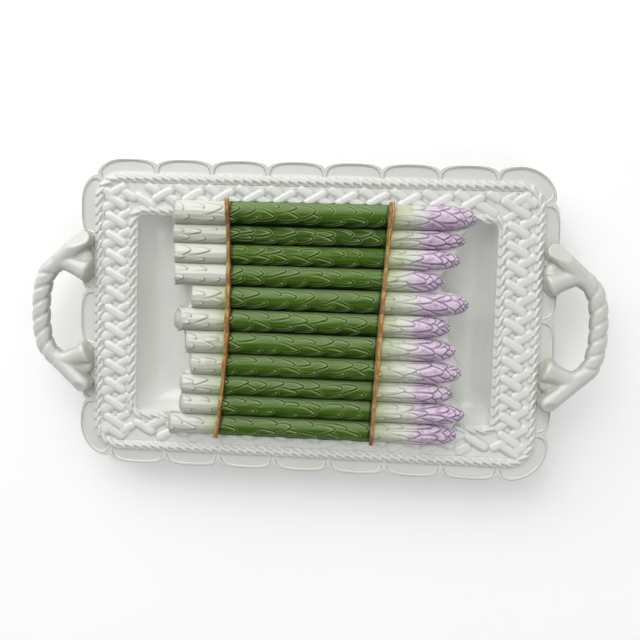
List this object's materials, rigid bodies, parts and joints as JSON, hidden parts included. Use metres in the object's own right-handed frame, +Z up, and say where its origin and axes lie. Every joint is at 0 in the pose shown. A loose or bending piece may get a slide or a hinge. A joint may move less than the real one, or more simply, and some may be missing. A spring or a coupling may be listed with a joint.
{
  "type": "asparagus plate",
  "caption": "Oblong glazed earthenware asparagus platter with a raised bundle of spears between two wells, woven border, lobed rim and twisted loop handles.",
  "frame": {"origin": "middle of the plate's length and width, on the table under its foot ring", "axes": "+X along the plate towards the buds' end, +Y across it towards the back, +Z up"},
  "size_m": [0.402, 0.217, 0.0442],
  "materials": {
    "white_glaze": "glossy",
    "foot_glaze": "satin",
    "green_glaze": "glossy",
    "lilac_glaze": "glossy",
    "ochre_glaze": "glossy"
  },
  "bodies": {
    "root": {"dish_body": "white_glaze", "foot_ring": "foot_glaze", "lobed_rim": "white_glaze", "outer_rope": "white_glaze", "inner_rope_left": "white_glaze", "inner_rope_right": "white_glaze", "weave_top": "white_glaze", "weave_bottom": "white_glaze", "weave_left": "white_glaze", "weave_right": "white_glaze", "bundle_bed": "white_glaze", "handle_left": "white_glaze", "handle_right": "white_glaze", "stub_left_back": "white_glaze", "stub_left_front": "white_glaze", "stub_right_back": "white_glaze", "stub_right_front": "white_glaze", "spear_01": "green_glaze", "spear_02": "green_glaze", "spear_03": "green_glaze", "spear_04": "green_glaze", "spear_05": "green_glaze", "spear_06": "green_glaze", "spear_07": "green_glaze", "spear_08": "green_glaze", "spear_09": "green_glaze", "spear_10": "green_glaze", "spear_11": "green_glaze", "bud_01": "lilac_glaze", "bud_02": "lilac_glaze", "bud_03": "lilac_glaze", "bud_04": "lilac_glaze", "bud_05": "lilac_glaze", "bud_06": "lilac_glaze", "bud_07": "lilac_glaze", "bud_08": "lilac_glaze", "bud_09": "lilac_glaze", "bud_10": "lilac_glaze", "bud_11": "lilac_glaze", "tie_left": "ochre_glaze", "tie_right": "ochre_glaze"}
  },
  "joints": []
}
